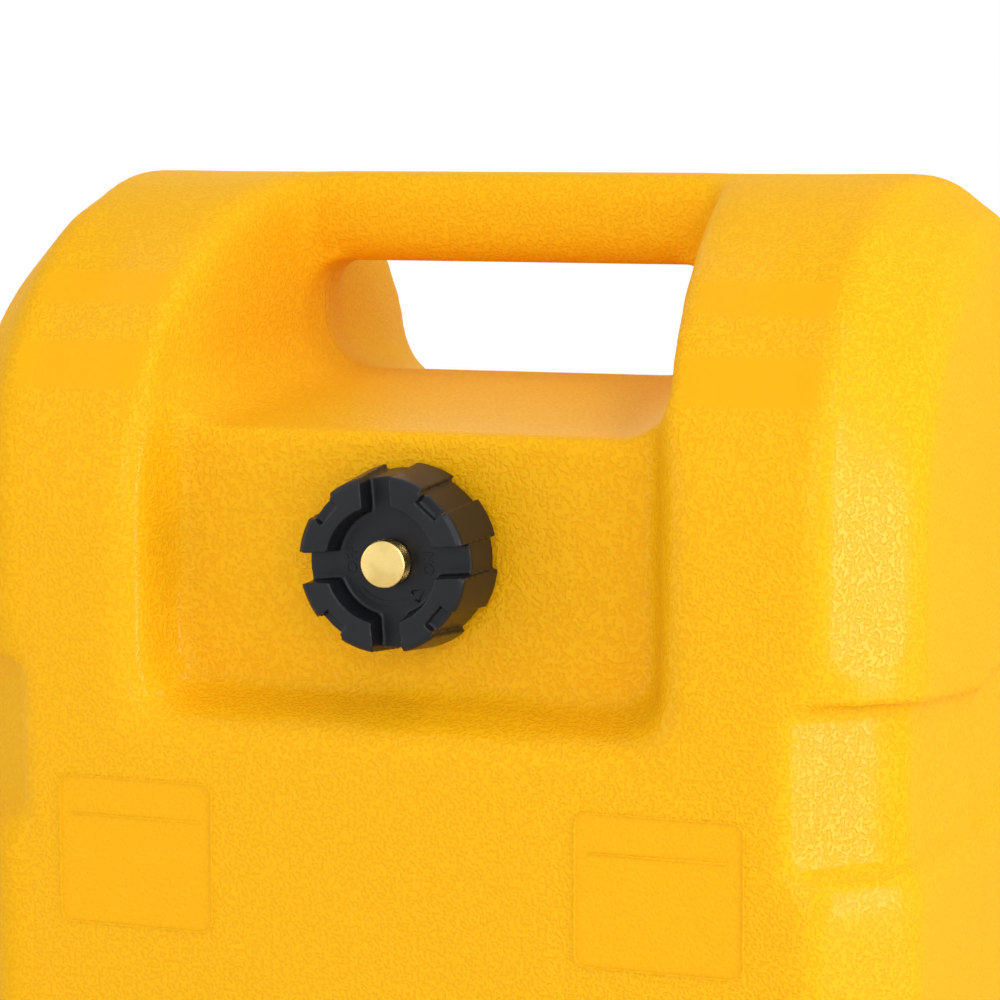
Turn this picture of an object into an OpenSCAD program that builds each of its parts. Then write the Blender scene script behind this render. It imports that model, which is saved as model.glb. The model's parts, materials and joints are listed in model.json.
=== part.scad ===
// Fuel caddy: a moulded tank on two wheels with a vented screw cap and a shut-off outlet.
// Millimetres. X runs across the front, Y runs from front to back, Z runs up from the ground.
// The mould parting plane of the tank is Y = 0.

/* [Tank] */
// Width across the side faces
tank_w = 387; // [340:1:440]
// Depth from the front face to the back face
tank_d = 300; // [270:1:340]
// Height of the top above the ground
tank_h = 710; // [660:1:780]
// Moulded wall thickness
wall = 4; // [3:0.5:6]
// Width of the chamfer along the front edge of each side face
side_chamfer = 32.5; // [24:0.5:40]
// Width of the chamfer along the back edge of each side face
back_chamfer = 21; // [16:0.5:36]
// Radius that softens both edges of that chamfer
chamfer_r = 12; // [8:1:24]
// Height over which the front and back faces roll into the top
crown_h = 128; // [110:1:150]
// Radius of the front and back bottom edges
base_r = 28; // [15:1:40]
// Height of the tank bottom above the ground
ground_gap = 8; // [5:1:14]

/* [Handle] */
// Height of the grip bar
grip_h = 36.5; // [30:0.5:42]
// Depth of the grip bar from front to back
grip_d = 42; // [34:1:50]
// Corner radius of the grip bar section
grip_r = 16; // [8:1:17]
// Width of the hand hole at the parting plane
hand_w = 172; // [130:1:176]
// Height of the hand hole at the parting plane
hand_h = 44.5; // [38:0.5:60]
// Radius of the hand hole's upper corners
hand_r = 12; // [6:0.5:18]
// Width between the shoulders at the front face
valley_w = 210; // [204:1:230]
// Drop of the valley floor from the parting plane to a face
floor_fall = 18; // [8:1:26]

/* [Cap recess] */
// Depth of the recess behind the front face
recess_depth = 27; // [22:0.5:34]
// Width of the recess floor
recess_w = 190; // [150:1:196]
// Distance from the tank top down to the lower edge of the recess floor
recess_drop = 194; // [180:1:215]
// Growth of the recess on each side from its floor to the front face
recess_flare = 11; // [4:0.5:16]
// Corner radius of the recess floor
recess_r = 14; // [6:1:24]

/* [Side bands] */
// Distance from the tank top down to the upper band
band_drop = 185; // [178:1:205]
// Height of a band
band_h = 65; // [40:1:80]
// Depth of a band into the side faces
band_in = 6; // [3:0.5:10]
// Distance between the upper and the lower band
band_pitch = 235; // [200:1:240]
// Drop of the band's upper edge at the parting plane
band_dip = 16; // [0:1:20]

/* [Filler cap] */
// Distance from the tank top down to the cap axis
cap_drop = 141; // [130:1:150]
// Radius of the cap at its skirt
cap_r = 35.5; // [34:0.5:40]
// Radius of the cap at its face
cap_face_r = 32.8; // [31:0.1:34]
// Height of the cap
cap_h = 30; // [28:0.5:34]
// Radius of the dish in the cap face
dish_r = 21.6; // [18:0.1:24]
// Depth of the dish in the cap face
dish_depth = 10.5; // [7:0.5:11]
// Width of the grip slots
slot_w = 11; // [6:0.5:12]
// Height of the grip pads on the cap side
pad_h = 2; // [1:0.1:3]
// Turn of the closed cap away from upright
cap_clock = 4.5; // [0:0.5:45]
// Inside radius of the filler neck
neck_bore_r = 21; // [18:0.5:21.5]
// Pitch of the cap thread
cap_pitch = 6; // [5:0.5:6]

/* [Vent] */
// Radius of the vent knob
knob_r = 9; // [7:0.5:11]
// Thickness of the vent knob
knob_h = 7.7; // [5:0.1:9]
// Radius of the vent screw shank
vent_r = 2.5; // [2:0.1:3]

/* [Wheels] */
// Radius of a wheel
wheel_r = 90; // [80:1:92]
// Width of a wheel
wheel_w = 42; // [36:1:46]
// Thickness of the tyre
tyre_t = 18; // [12:1:22]
// Radius of the axle
axle_r = 6; // [5:0.5:8]
// Clearance of a wheel in its well
well_gap = 8; // [6:1:12]
// Radial clearance of a bush on the axle
run_gap = 0.05; // [0.03:0.01:0.08]

/* [Outlet] */
// Height of the outlet axis above the ground
outlet_z = 88; // [82:1:100]
// Depth of the outlet recess
outlet_depth = 72; // [68:1:80]
// Radius of the hose spigot
tail_r = 9.5; // [8:0.5:10]
// Radius of the passage through the valve
port_r = 5.5; // [4:0.5:6]
// Length of the lever from the stem axis to its tip
lever_len = 46; // [36:1:48]

/* [Hidden] */
$fn = 96;
// Clearance between pieces that touch without moving
fit = 0.1;
// Clearance between pieces that move past each other
gap = 0.4;
half_w = tank_w / 2;
half_d = tank_d / 2;
crown_z = tank_h - crown_h;
// Length that a 45 degree round takes from each of its edges
chamfer_t = chamfer_r * tan(22.5);
// Front feet
foot_w = 0.465 * half_w;
foot_d = 46;
foot_r = 10;
foot_x = 0.5426 * half_w;
// Handle
grip_z = tank_h - grip_h;
crest_z = grip_z - hand_h;
valley_over = 24;
// Cap recess
recess_y = -(half_d - recess_depth);
recess_z = tank_h - recess_drop;
cap_z = tank_h - cap_drop;
// Bands
band_top = tank_h - band_drop;
// Filler neck and cap, measured outward from the recess floor
skirt_z = 5;
rim_z = skirt_z + cap_h;
dish_z = rim_z - dish_depth;
plate_t = 3;
rim_bevel = 1.6;
plate_z = dish_z - plate_t;
gasket_t = 2.3;
neck_mouth_z = plate_z - gasket_t - 2 * fit;
neck_r = neck_bore_r + 3.6;
thread_h = 1.9;
thread_w = 2.6;
cap_bore_r = neck_r + thread_h + 0.5;
neck_flange_r = neck_r + 6.4;
neck_spigot_r = neck_r + 0.8;
front_y = recess_y - rim_z;
// Vent
knob_z = dish_z + gap;
insert_r = vent_r + 3.2;
vent_seal_r = 0.9;
// Wheels
axle_z = wheel_r;
axle_y = -front_y - wheel_r;
well_r = wheel_r + well_gap;
bay_z = axle_z + 16;
bay_y = axle_y - 62;
bay_r = 26;
cap_t = 5;
washer_t = 1.5;
wheel_out = half_w - cap_t - washer_t - 3 * fit - 0.4;
wheel_in = wheel_out - wheel_w;
well_in = wheel_in - 7;
rim_r = wheel_r - tyre_t;
rim_t = 6;
hub_r = 16;
bush_r = axle_r + 3;
bush_l = 14;
saddle_x = wheel_in - 36.3;
saddle_w = 30;
saddle_d = 52;
saddle_bolt = 19;
saddle_t = 7;
saddle_screw_l = 23;
saddle_head_t = 3.1;
screw_r = 2.5;
// Outlet
outlet_y = -(half_d - outlet_depth);
outlet_w = 124;
outlet_lo = outlet_z - 44;
outlet_hi = outlet_z + 50;
outlet_flare = 12;
outlet_hole_r = 13;
flange_t = 3;
ball_r = port_r + 4.5;
seat_t = 4;
chamber_r = ball_r + 2;
body_r = chamber_r + 3.5;
stub_r = body_r - 5.5;
tail_l = 9;
seal_t = 2.4;
body_back = flange_t + seal_t;
ball_at = body_back + 6 + ball_r;
chamber_in = ball_at - ball_r - seat_t + 1.5;
chamber_out = ball_at + ball_r + seat_t - 1.5;
body_front = chamber_out + tail_l;
collar_t = 7;
stem_r = 4;
boss_r = 9;
boss_top = body_r + 7;
lever_t = 6;
lever_z = boss_top + gap;

yellow = [0.98, 0.70, 0.06];
black = [0.09, 0.09, 0.10];
rubber = [0.14, 0.14, 0.14];
brass = [0.80, 0.66, 0.36];
steel = [0.72, 0.73, 0.75];
white = [0.90, 0.90, 0.88];

// Points of an arc in a plane, from angle a to angle b
function arc(c, r, a, b, n) = [for (i = [0:n]) [c[0] + r * cos(a + (b - a) * i / n), c[1] + r * sin(a + (b - a) * i / n)]];

// Side outline of the tank, moved inward by i: domed top, straight faces, rounded bottom
function side_outline(i) =
  let (
    a = half_d - i,
    b = crown_h - i,
    r = max(base_r - i, 3),
    z = ground_gap + i
  )
  concat(
    [for (k = [0:32]) [a * cos(180 * k / 32), crown_z + b * sin(180 * k / 32)]],
    arc([-a + r, z + r], r, 180, 270, 5),
    arc([a - r, z + r], r, 270, 360, 5)
  );

// Chamfer width where the side outline has depth y
function chamfer_at(y) =
  let (t = min(max((y / half_d + 0.4) / 0.67, 0), 1))
  side_chamfer + (back_chamfer - side_chamfer) * t;

// Stations across a chamfer of width v for a wall depth w: distance from the middle and inward shift
function side_stations(w, n, v) =
  let (
    f = half_w - v - w * tan(22.5),
    s = half_w - w,
    c = s - f
  )
  concat(
    [for (k = [0:n]) let (t = 45 * k / n) [f - chamfer_t + chamfer_r * sin(t), w + chamfer_r * (1 - cos(t))]],
    [for (k = [0:n]) let (t = 45 - 45 * k / n) [s - chamfer_r * (1 - cos(t)), w + c + chamfer_t - chamfer_r * sin(t)]]
  );

// Rounded rectangle in a plane, from a corner to the opposite corner
function rounded(x0, z0, x1, z1, r) = concat(
  arc([x0 + r, z0 + r], r, 180, 270, 5),
  arc([x1 - r, z0 + r], r, 270, 360, 5),
  arc([x1 - r, z1 - r], r, 0, 90, 5),
  arc([x0 + r, z1 - r], r, 90, 180, 5)
);

// Trough with rounded lower corners, open at the top
function trough(w, z, r, top) = concat(
  arc([-w + r, z + r], r, 180, 270, 6),
  arc([w - r, z + r], r, 270, 360, 6),
  [[w, top], [-w, top]]
);

// Solid through a row of outlines that share one point count
module loft(rings) {
  n = len(rings[0]);
  m = len(rings);
  polyhedron(
    points = [for (r = rings) each r],
    faces = concat(
      [[for (i = [0:n - 1]) i]],
      [for (k = [0:m - 2], i = [0:n - 1]) [k * n + i, (k + 1) * n + i, (k + 1) * n + (i + 1) % n]],
      [for (k = [0:m - 2], i = [0:n - 1]) [k * n + i, (k + 1) * n + (i + 1) % n, k * n + (i + 1) % n]],
      [[for (i = [n - 1:-1:0]) (m - 1) * n + i]]
    )
  );
}

// Outline in X and Z placed at depth y
function at_y(pts, y) = [for (p = pts) [p[0], y, p[1]]];

// Helical thread ridge about Z: root radius r0, crest radius r1, from height z for a number of turns
module thread(r0, r1, w0, w1, pitch, z, turns, start) {
  n = ceil(turns * 30);
  s = r1 > r0 ? 1 : -1;
  loft([
    for (k = [0:n])
      let (
        a = start + 360 * turns * k / n,
        h = z + pitch * turns * k / n
      )
      [for (p = [[r0, -w0 / 2], [r0, w0 / 2], [r1, w1 / 2], [r1, -w1 / 2]])
        [p[0] * cos(a), p[0] * sin(a), h + s * p[1]]]
  ]);
}

// Tank body without its recesses, w inside the outer skin
module body(w, n) {
  st = [for (p = side_outline(0)) side_stations(w, n, chamfer_at(p[0]))];
  m = len(st[0]);
  half = [
    for (k = [0:m - 1])
      [for (j = [0:len(st) - 1]) let (p = side_outline(st[j][k][1])[j]) [st[j][k][0], p[0], p[1]]]
  ];
  loft(concat(
    [for (k = [m - 1:-1:0]) [for (p = half[k]) [-p[0], p[1], p[2]]]],
    half
  ));
}

// Space between the shoulders, grown by w
module valley(w) {
  e = half_d + valley_over;
  grow = (valley_w - hand_w) / 2 * e / half_d;
  fall = floor_fall * e / half_d;
  r = hand_h / 2 + w;
  loft([
    at_y(trough(hand_w / 2 + grow + w, crest_z - fall - w, r, tank_h + 40), e),
    at_y(trough(hand_w / 2 + w, crest_z - w, r, tank_h + 40), 0),
    at_y(trough(hand_w / 2 + grow + w, crest_z - fall - w, r, tank_h + 40), -e)
  ]);
}

// Grip bar across the valley with rounded corners to the hand hole, w inside its skin
module grip(w) {
  x = valley_w / 2 + 10;
  r = grip_r - w;
  d = grip_d / 2 - w;
  h = grip_h + 3 - 2 * w;
  translate([-x, 0, grip_z + w])
    rotate([90, 0, 90])
      linear_extrude(2 * x) {
        translate([-d, r])
          square([2 * d, h - 2 * r]);
        translate([-d + r, 0])
          square([2 * d - 2 * r, h]);
        for (y = [-d + r, d - r], z = [r, h - r])
          translate([y, z])
            circle(r);
      }
  for (s = [0, 1])
    mirror([s, 0, 0])
      translate([hand_w / 2 - hand_r, 0, grip_z - hand_r])
        rotate([90, 0, 0])
          linear_extrude(grip_d - 8 - 2 * w, center = true)
            difference() {
              square([2 * hand_r, hand_r + grip_h / 2]);
              circle(hand_r + w);
            }
}

// Recess round the filler cap, grown by w
module cap_recess(w) {
  e = recess_depth + valley_over;
  g = recess_flare * e / recess_depth;
  hi = crest_z + 12;
  loft([
    at_y(rounded(-recess_w / 2 - w, recess_z - w, recess_w / 2 + w, hi, recess_r + w), recess_y + w),
    at_y(rounded(-recess_w / 2 - g - w, recess_z - g - w, recess_w / 2 + g + w, hi + g, recess_r + w), recess_y - e)
  ]);
}

// Recess round the outlet valve, grown by w
module outlet_recess(w) {
  e = outlet_depth + valley_over;
  g = outlet_flare * e / outlet_depth;
  x = outlet_w / 2 + w;
  loft([
    at_y(rounded(-x, outlet_lo - w, x, outlet_hi + w, 16 + w), outlet_y + w),
    at_y(rounded(-x - g, outlet_lo - g - w, x + g, outlet_hi + g + w, 22 + w), outlet_y - e)
  ]);
}

// Space for the axle and the wheels at the lower rear, grown by w
module wheel_space(w) {
  r = bay_r + w;
  e = half_d + 40;
  translate([-half_w - 20, 0, 0])
    rotate([90, 0, 90])
      linear_extrude(tank_w + 40) {
        translate([bay_y - w, -20])
          square([e - bay_y + w, bay_z + w - r + 20]);
        translate([bay_y - w + r, -20])
          square([e - bay_y + w - r, bay_z + w + 20]);
        translate([bay_y - w + r, bay_z + w - r])
          circle(r);
      }
  for (s = [-1, 1])
    translate([s * (half_w + 30 + well_in - w) / 2, axle_y, axle_z])
      rotate([0, 90, 0])
        cylinder(h = half_w + 30 - well_in + w, r = well_r + w, center = true);
}

// Band round the sides and chamfers, with its upper edge at z, grown by w
module band(z, w) {
  e = half_d + 20;
  c = band_in * 1.33;
  x = half_w - band_in - w;
  f = half_w - side_chamfer - c * sqrt(2) - w * (sqrt(2) - 1);
  g = half_w - back_chamfer - c * sqrt(2) - w * (sqrt(2) - 1);
  y = half_d + 1 - w;
  difference() {
    translate([-half_w - 20, 0, z])
      rotate([90, 0, 90])
        linear_extrude(tank_w + 40)
          polygon([
            [-e, w], [-half_d + side_chamfer, w - 2], [0, w - band_dip], [half_d - back_chamfer, w - 2], [e, w],
            [e, -band_h - w], [half_d - back_chamfer, -band_h - w], [0, -band_h - w - band_dip * 0.6],
            [-half_d + side_chamfer, -band_h - w], [-e, -band_h - w]
          ]);
    translate([0, 0, z - band_h - 60])
      linear_extrude(band_h + 120)
        polygon([
          [-f + 1, -y], [f - 1, -y], [x, -y + x - f + 1], [x, y - x + g - 1],
          [g - 1, y], [-g + 1, y], [-x, y - x + g - 1], [-x, -y + x - f + 1]
        ]);
  }
}

// Puts its children on the cap axis, Z pointing out of the tank, zero on the recess floor
module cap_axis() {
  translate([0, recess_y, cap_z])
    rotate([90, 0, 0])
      children();
}

// Puts its children on the outlet axis, Z pointing out of the tank, zero on the recess floor
module outlet_axis() {
  translate([0, outlet_y, outlet_z])
    rotate([90, 0, 0])
      children();
}

// Puts its children on the valve stem axis, Z pointing up, zero on the outlet axis
module stem_axis() {
  translate([0, outlet_y - ball_at, outlet_z])
    children();
}

// Puts its children on the axle, Z pointing along X
module axle_axis() {
  translate([0, axle_y, axle_z])
    rotate([0, 90, 0])
      children();
}

// Ring about Z between two heights
module ring(r1, r0, z0, z1) {
  difference() {
    translate([0, 0, z0])
      cylinder(h = z1 - z0, r = r1);
    translate([0, 0, z0 - 1])
      cylinder(h = z1 - z0 + 2, r = r0);
  }
}

// Round seal about Z
module o_ring(r, section, z) {
  translate([0, 0, z])
    rotate_extrude()
      translate([r, 0])
        circle(section);
}

// Places of the saddle screws
module saddle_bolts() {
  for (s = [-1, 1], t = [-1, 1])
    translate([s * saddle_x, axle_y + t * saddle_bolt, bay_z])
      children();
}

module tank_shell() {
  color(yellow)
    difference() {
      union() {
        difference() {
          body(0, 3);
          difference() {
            valley(0);
            grip(0);
          }
          cap_recess(0);
          outlet_recess(0);
          wheel_space(0);
          band(band_top, 0);
          band(band_top - band_pitch, 0);
        }
        for (s = [-1, 1])
          translate([s * foot_x - foot_w / 2, -half_d + 12, 0])
            linear_extrude(ground_gap + 12)
              foot_outline();
      }
      difference() {
        body(wall, 1);
        difference() {
          valley(wall);
          grip(wall);
        }
        cap_recess(wall);
        outlet_recess(wall);
        wheel_space(wall);
        band(band_top, wall);
        band(band_top - band_pitch, wall);
        saddle_bolts()
          cylinder(h = 24, r = screw_r + 5);
      }
      cap_axis()
        translate([0, 0, -wall - 2])
          cylinder(h = wall + 4, r = neck_spigot_r + fit);
      outlet_axis()
        translate([0, 0, -wall - 2])
          cylinder(h = wall + 4, r = outlet_hole_r + fit);
      saddle_bolts()
        translate([0, 0, -1])
          cylinder(h = saddle_screw_l - saddle_t + 3, r = screw_r + fit);
    }
}

// Outline of a front foot
module foot_outline() {
  translate([foot_r, 0])
    square([foot_w - 2 * foot_r, foot_d]);
  translate([0, foot_r])
    square([foot_w, foot_d - 2 * foot_r]);
  for (x = [foot_r, foot_w - foot_r], y = [foot_r, foot_d - foot_r])
    translate([x, y])
      circle(foot_r);
}

module filler_neck() {
  color(black)
    cap_axis() {
      ring(neck_flange_r, neck_bore_r, 0, 2.5);
      ring(neck_spigot_r, neck_bore_r, -wall - 3, 0);
      ring(neck_r, neck_bore_r, 2.5, neck_mouth_z);
      thread(neck_r - 0.6, neck_r + thread_h, thread_w + 0.6, thread_w * 0.45, cap_pitch, 5.6, 1.6, 0);
    }
}

// Slab of width w from radius r outward, between two heights
module slot(r, w, z0, z1) {
  translate([r, -w / 2, z0])
    cube([cap_r + 6 - r, w, z1 - z0]);
}

module filler_cap() {
  color(black)
    cap_axis() {
      difference() {
        union() {
          translate([0, 0, skirt_z])
            cylinder(h = cap_h - rim_bevel, r1 = cap_r, r2 = cap_face_r);
          translate([0, 0, rim_z - rim_bevel])
            cylinder(h = rim_bevel, r1 = cap_face_r, r2 = cap_face_r - rim_bevel);
        }
        translate([0, 0, skirt_z - 1])
          cylinder(h = plate_z - skirt_z + 1, r = cap_bore_r);
        translate([0, 0, dish_z])
          cylinder(h = dish_depth + 1, r1 = dish_r - 1.6, r2 = dish_r + 0.2);
        rotate(cap_clock)
          for (a = [0:45:315])
            rotate(a)
              difference() {
                slot(dish_r + 2, slot_w + 1, skirt_z - 1, rim_z + 1);
                translate([0, 0, skirt_z - 2])
                  cylinder(h = cap_h + 4, r1 = cap_r - pad_h, r2 = cap_face_r - pad_h);
              }
        rotate(cap_clock)
          for (a = [0:90:270])
            rotate(a)
              slot(dish_r - 4, slot_w, dish_z, rim_z + 2);
        rotate(cap_clock + 45)
          for (a = [0:90:270])
            rotate(a)
              slot(cap_face_r - 6, slot_w - 1.5, rim_z - 4, rim_z + 3);
        translate([0, 0, plate_z - 1])
          cylinder(h = plate_t + 2, r = insert_r + fit);
      }
      thread(cap_bore_r + 0.6, neck_r + 0.6, thread_w, thread_w * 0.4, cap_pitch, 8.6, 1.5, 0);
    }
}

module cap_gasket() {
  color(rubber)
    cap_axis()
      ring(neck_r + 1.4, neck_bore_r - 0.5, neck_mouth_z + fit, plate_z - fit);
}

module vent_insert() {
  color(brass)
    cap_axis() {
      ring(insert_r, vent_r + fit, plate_z - 4, dish_z);
      ring(insert_r + 2.5, insert_r - 0.5, plate_z - 4, plate_z - fit);
    }
}

module vent_screw() {
  color(brass)
    cap_axis() {
      difference() {
        union() {
          translate([0, 0, knob_z])
            cylinder(h = 0.7, r1 = knob_r - 0.7, r2 = knob_r);
          translate([0, 0, knob_z + 0.7])
            cylinder(h = knob_h - 1.4, r = knob_r);
          translate([0, 0, knob_z + knob_h - 0.7])
            cylinder(h = 0.7, r1 = knob_r, r2 = knob_r - 0.7);
        }
        ring(insert_r, vent_r, knob_z - 1, knob_z + 2 * vent_seal_r - gap + fit);
      }
      translate([0, 0, plate_z - 8])
        cylinder(h = knob_z - plate_z + 10, r = vent_r);
    }
}

module vent_o_ring() {
  color(rubber)
    cap_axis()
      o_ring(vent_r + vent_seal_r + 0.5, vent_seal_r - fit / 2, dish_z + vent_seal_r);
}

module outlet_insert() {
  color(black)
    outlet_axis() {
      ring(outlet_hole_r + 4, stub_r, 0, flange_t);
      ring(outlet_hole_r, stub_r, -wall - 8, 0);
    }
}

module outlet_o_ring() {
  color(rubber)
    outlet_axis()
      o_ring(stub_r + 3, seal_t / 2 - fit / 2, flange_t + seal_t / 2);
}

module valve_body() {
  color(black)
    difference() {
      union() {
        outlet_axis() {
          translate([0, 0, body_back])
            cylinder(h = body_front - body_back, r = body_r);
          translate([0, 0, -wall - 4])
            cylinder(h = body_back + wall + 5, r = stub_r - fit);
        }
        stem_axis()
          cylinder(h = boss_top, r = boss_r);
      }
      outlet_axis() {
        translate([0, 0, -wall - 5])
          cylinder(h = body_front + wall + 6, r = port_r);
        translate([0, 0, chamber_in])
          cylinder(h = body_front, r = chamber_r);
      }
      stem_axis() {
        cylinder(h = boss_top + 1, r = stem_r + run_gap);
        translate([0, 0, boss_top - 3])
          cylinder(h = 4, r = stem_r + 2.6);
      }
    }
}

module valve_ball() {
  color(steel)
    stem_axis()
      difference() {
        sphere(ball_r);
        rotate([0, 90, 0])
          cylinder(h = 3 * ball_r, r = port_r, center = true);
        translate([-ball_r, -1.5 - fit, ball_r - 2.5])
          cube([2 * ball_r, 3 + 2 * fit, 5]);
      }
}

module ball_seats() {
  color(white)
    outlet_axis() {
      difference() {
        ring(chamber_r - fit, port_r + 0.8, chamber_in, chamber_in + seat_t);
        translate([0, 0, ball_at])
          sphere(ball_r + 0.3);
      }
      difference() {
        ring(chamber_r - fit, port_r + 0.8, chamber_out - seat_t, chamber_out);
        translate([0, 0, ball_at])
          sphere(ball_r + 0.3);
      }
    }
}

module valve_stem() {
  color(steel)
    stem_axis() {
      difference() {
        translate([0, 0, chamber_r + fit])
          cylinder(h = lever_z + lever_t - fit - chamber_r - 0.3, r = stem_r);
        translate([0, 0, lever_z - 4])
          cylinder(h = lever_t + 10, r = 1.5 + fit);
      }
      intersection() {
        translate([-stem_r, -1.5, ball_r - 2.2])
          cube([2 * stem_r, 3, chamber_r - ball_r + 3]);
        cylinder(h = 40, r = stem_r);
      }
    }
}

module stem_o_ring() {
  color(rubber)
    stem_axis()
      o_ring(stem_r + 1.3, 1.15, boss_top - 1.7);
}

module valve_lever() {
  color(black)
    stem_axis()
      difference() {
        union() {
          translate([0, 0, lever_z])
            cylinder(h = lever_t, r = boss_r + 1);
          translate([-lever_len + 7, -7, lever_z])
            cube([lever_len - 7, 14, lever_t]);
          translate([-lever_len + 7, 0, lever_z])
            cylinder(h = lever_t, r = 7);
          translate([-lever_len + 7, 0, lever_z])
            cylinder(h = lever_t + 5, r = 5);
        }
        translate([0, 0, lever_z - 1])
          cylinder(h = lever_t + 2, r = stem_r + fit);
      }
}

module lever_screw() {
  color(steel)
    stem_axis() {
      translate([0, 0, lever_z - 3])
        cylinder(h = lever_t + 4, r = 1.5);
      difference() {
        translate([0, 0, lever_z + lever_t + fit])
          cylinder(h = 2.6, r1 = 6, r2 = 5);
        translate([-7, -0.6, lever_z + lever_t + 1.6])
          cube([14, 1.2, 3]);
      }
    }
}

module hose_tail() {
  color(black)
    outlet_axis()
      difference() {
        union() {
          translate([0, 0, chamber_out + fit])
            cylinder(h = body_front - chamber_out - fit, r = chamber_r - fit);
          translate([0, 0, body_front + seal_t * 0.5])
            cylinder(h = collar_t, r = body_r + 1, $fn = 6);
          translate([0, 0, body_front - 1])
            cylinder(h = 3, r = chamber_r - fit);
          translate([0, 0, body_front + collar_t])
            cylinder(h = outlet_depth - body_front - collar_t - 1.5, r = tail_r);
          translate([0, 0, outlet_depth - 1.5])
            cylinder(h = 1.5, r1 = tail_r, r2 = tail_r - 1.5);
        }
        translate([0, 0, chamber_out - 1])
          cylinder(h = outlet_depth, r = port_r);
        for (k = [1:3])
          translate([0, 0, body_front + collar_t + 4.2 * k])
            ring(tail_r + 2, tail_r - 0.8, 0, 1.6);
      }
}

module tail_o_ring() {
  color(rubber)
    outlet_axis()
      ring(body_r - 0.5, chamber_r + fit, body_front + fit / 2, body_front + seal_t * 0.5 - fit / 2);
}

module axle() {
  color(steel)
    axle_axis()
      cylinder(h = 2 * (half_w - 2), r = axle_r, center = true);
}

module axle_saddles() {
  color(black)
    for (s = [-1, 1])
      translate([s * saddle_x - saddle_w / 2, axle_y, axle_z])
        difference() {
          union() {
            translate([0, -saddle_d / 2, bay_z - axle_z - saddle_t])
              cube([saddle_w, saddle_d, saddle_t]);
            translate([0, -axle_r - saddle_t, 0])
              cube([saddle_w, 2 * (axle_r + saddle_t), bay_z - axle_z]);
            rotate([0, 90, 0])
              cylinder(h = saddle_w, r = axle_r + saddle_t);
          }
          translate([-1, 0, 0])
            rotate([0, 90, 0])
              cylinder(h = saddle_w + 2, r = axle_r + fit / 2);
          for (t = [-1, 1])
            translate([saddle_w / 2, t * saddle_bolt, 0])
              cylinder(h = bay_z, r = screw_r + fit);
        }
}

module saddle_screws() {
  color(steel)
    saddle_bolts() {
      translate([0, 0, -saddle_t - fit])
        cylinder(h = saddle_screw_l, r = screw_r);
      translate([0, 0, -saddle_t - fit - saddle_head_t])
        cylinder(h = saddle_head_t, r = 1.84 * screw_r);
    }
}

// Ring on the axle on side s, between two distances from the middle
module axle_ring(s, r1, r0, x0, x1) {
  axle_axis()
    mirror([0, 0, s < 0 ? 1 : 0])
      ring(r1, r0, x0, x1);
}

module axle_spacers() {
  color(black)
    for (s = [-1, 1])
      axle_ring(s, axle_r + 4, axle_r + fit, saddle_x + saddle_w / 2 + fit, wheel_in - washer_t - 0.6);
}

module axle_washers() {
  color(steel)
    for (s = [-1, 1]) {
      axle_ring(s, axle_r + 6, axle_r + fit, wheel_in - washer_t - 0.4, wheel_in - 0.4);
      axle_ring(s, axle_r + 6, axle_r + fit, wheel_out + 0.4, wheel_out + washer_t + 0.4);
    }
}

module axle_caps() {
  color(steel)
    for (s = [-1, 1])
      axle_axis()
        mirror([0, 0, s < 0 ? 1 : 0])
          difference() {
            union() {
              translate([0, 0, wheel_out + washer_t + 0.5])
                cylinder(h = 1.4, r = axle_r + 5);
              translate([0, 0, wheel_out + washer_t + 1.9])
                cylinder(h = half_w - wheel_out - washer_t - 1.9, r1 = axle_r + 2.2, r2 = axle_r + 0.6);
            }
            translate([0, 0, wheel_out])
              cylinder(h = half_w - 2 - wheel_out + fit, r = axle_r + fit / 2);
          }
}

// Wheel hub with its mid-plane at zero, Z along the axle
module hub() {
  difference() {
    union() {
      ring(rim_r - fit, rim_r - rim_t, -wheel_w / 2 + 2, wheel_w / 2 - 2);
      ring(rim_r - rim_t + 1, hub_r - 1, -4, 4);
      ring(hub_r, bush_r + fit / 2, -wheel_w / 2, wheel_w / 2);
      for (a = [0:60:300])
        rotate(a + 30)
          translate([hub_r - 1, -2.5, -13])
            cube([rim_r - rim_t - hub_r + 2, 5, 26]);
    }
    for (a = [0:60:300])
      rotate(a)
        translate([(hub_r + rim_r - rim_t) / 2 + 2, 0, -10])
          cylinder(h = 20, r = 11);
  }
}

module bushes() {
  ring(bush_r, axle_r + run_gap, -wheel_w / 2, -wheel_w / 2 + bush_l);
  ring(bush_r, axle_r + run_gap, wheel_w / 2 - bush_l, wheel_w / 2);
}

module tyre() {
  t = rim_r;
  w = wheel_w / 2;
  difference() {
    rotate_extrude()
      difference() {
        union() {
          translate([t, -w])
            square([tyre_t - 10, 2 * w]);
          translate([t, -w + 10])
            square([tyre_t, 2 * w - 20]);
          translate([wheel_r - 10, w - 10])
            circle(10);
          translate([wheel_r - 10, -w + 10])
            circle(10);
        }
        for (z = [-w / 3, w / 3])
          translate([wheel_r - 2, z - 1.5])
            square([4, 3]);
      }
    translate([0, 0, -w - 1])
      cylinder(h = wheel_w + 2, r = rim_r);
  }
}

// Puts its children in the middle of the wheel on side s
module wheel_place(s) {
  axle_axis()
    translate([0, 0, s * (wheel_in + wheel_out) / 2])
      mirror([0, 0, s < 0 ? 1 : 0])
        children();
}

module wheel_hub_left() {
  color(black)
    wheel_place(-1)
      hub();
}

module wheel_hub_right() {
  color(black)
    wheel_place(1)
      hub();
}

module wheel_bushes_left() {
  color(white)
    wheel_place(-1)
      bushes();
}

module wheel_bushes_right() {
  color(white)
    wheel_place(1)
      bushes();
}

module tyre_left() {
  color(rubber)
    wheel_place(-1)
      tyre();
}

module tyre_right() {
  color(rubber)
    wheel_place(1)
      tyre();
}

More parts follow.
